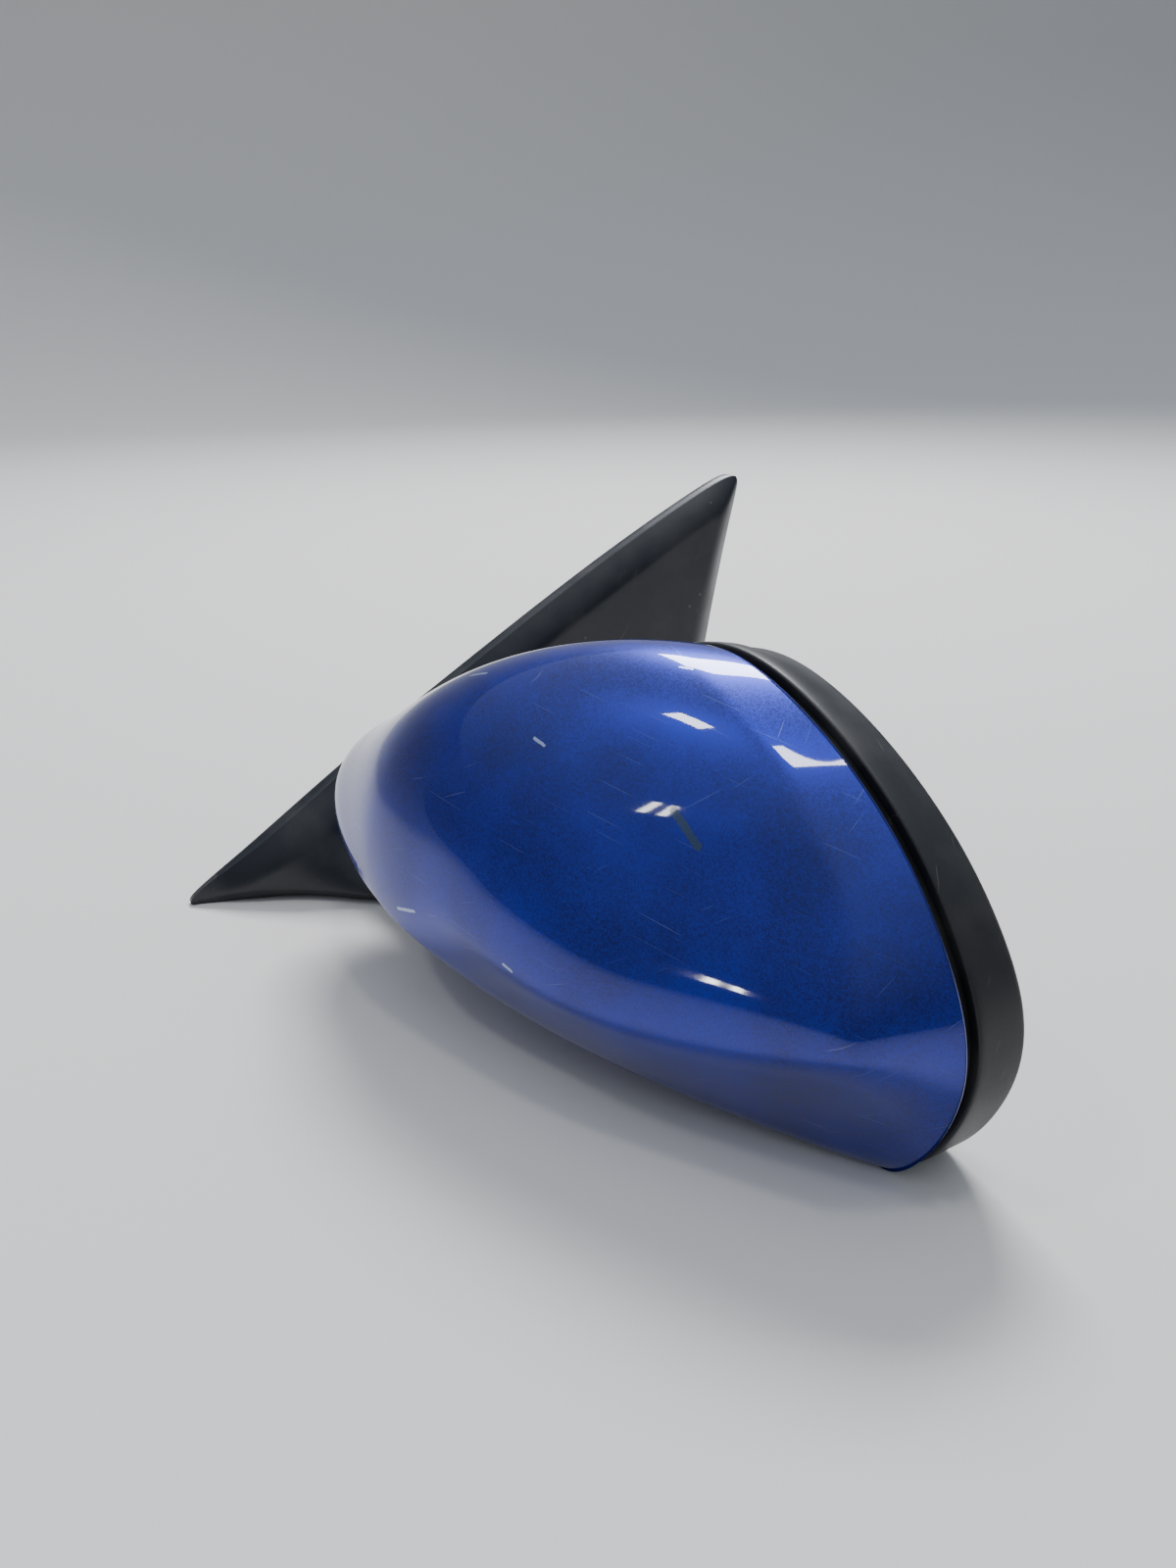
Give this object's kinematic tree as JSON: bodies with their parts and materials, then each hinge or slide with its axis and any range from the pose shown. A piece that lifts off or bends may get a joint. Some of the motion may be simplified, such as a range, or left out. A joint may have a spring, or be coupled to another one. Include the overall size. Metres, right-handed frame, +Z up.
{
  "type": "exterior door mirror",
  "caption": "Left-hand exterior car door mirror: domed painted cap, black bezel and triangular sail foot, with a folding head and a tilting powered glass.",
  "frame": {"origin": "point on the face that lies against the door, near the middle of the foot", "axes": "+X rearward along the car, +Y inboard into the door, +Z up"},
  "size_m": [0.2407, 0.2744, 0.1488],
  "materials": {
    "trim_black": "satin moulded plastic",
    "bezel_black": "fine-grained moulded plastic",
    "body_paint": "metallic blue with clear coat",
    "frame_grey": "glass-filled plastic",
    "case_grey": "moulded plastic",
    "natural_acetal": "low-friction plastic",
    "bracket_alloy": "die cast",
    "spring_steel": "oiled spring steel",
    "zinc_steel": "zinc plated",
    "foam": "closed-cell foam",
    "socket_black": "moulded plastic",
    "contact_brass": "tinned brass",
    "lead_black": "flexible sheath",
    "heater_foil": "printed film",
    "mirror_face": "silvered glass"
  },
  "bodies": {
    "foot": {"sail_cover": "trim_black", "mount_bracket": "bracket_alloy", "arm_shroud": "trim_black", "under_cover": "trim_black", "under_cover_screw": "zinc_steel", "door_gasket": "foam", "cover_screw_front": "zinc_steel", "cover_screw_rear": "zinc_steel", "cover_screw_top": "zinc_steel", "harness_socket": "socket_black", "socket_contacts": "contact_brass", "foot_lead": "lead_black", "friction_washer": "natural_acetal", "fold_spring": "spring_steel", "spring_seat": "zinc_steel", "retaining_clip": "spring_steel"},
    "head": {"head_frame": "frame_grey", "pivot_sleeve": "frame_grey", "pivot_collar": "bezel_black", "cap_shell": "body_paint", "cap_clip_inner": "natural_acetal", "cap_clip_upper": "natural_acetal", "cap_clip_outer": "natural_acetal", "cap_clip_lower": "natural_acetal", "bezel_ring": "bezel_black", "frame_screw_inner": "zinc_steel", "frame_screw_outer": "zinc_steel", "actuator_case_front": "case_grey", "actuator_case_rear": "case_grey", "tilt_motor_upper": "zinc_steel", "tilt_motor_lower": "zinc_steel", "drive_nut_pitch": "natural_acetal", "drive_nut_yaw": "natural_acetal", "actuator_screw_1": "zinc_steel", "actuator_screw_2": "zinc_steel", "actuator_screw_3": "zinc_steel", "head_lead": "lead_black"},
    "swivel": {"swivel_ring": "natural_acetal"},
    "glass": {"glass_carrier": "case_grey", "carrier_ears": "case_grey", "ball_cup_pitch": "case_grey", "ball_cup_yaw": "case_grey", "heater_pad": "heater_foil", "mirror_glass": "mirror_face"},
    "spindle_pitch_body": {"spindle_pitch": "natural_acetal"},
    "spindle_yaw_body": {"spindle_yaw": "natural_acetal"}
  },
  "joints": [
    {"name": "fold", "type": "hinge", "parent": "foot", "child": "head", "pos_m": [-0.028, -0.076, 0], "axis": [0, 0, 1], "range_deg": [-50, 65]},
    {"name": "glass_pitch", "type": "hinge", "parent": "head", "child": "swivel", "pos_m": [0.00302, -0.15537, 0.008], "axis": [-0.0872, 0.9962, 0], "range_deg": [-4.5, 4.5]},
    {"name": "glass_yaw", "type": "hinge", "parent": "swivel", "child": "glass", "pos_m": [0.00302, -0.15537, 0.008], "axis": [0, 0, 1], "range_deg": [-4.5, 4.5]},
    {"name": "pitch_spindle_slide", "type": "slide", "parent": "head", "child": "spindle_pitch_body", "axis": [0.9962, 0.0872, 0], "range_m": [-0.0025, 0.0025]},
    {"name": "yaw_spindle_slide", "type": "slide", "parent": "head", "child": "spindle_yaw_body", "axis": [0.9962, 0.0872, 0], "range_m": [-0.0025, 0.0025]}
  ],
  "couplings": [
    {"joint": "pitch_spindle_slide", "follows": "glass_pitch", "m_per_rad": 0.03},
    {"joint": "yaw_spindle_slide", "follows": "glass_yaw", "m_per_rad": 0.03}
  ]
}
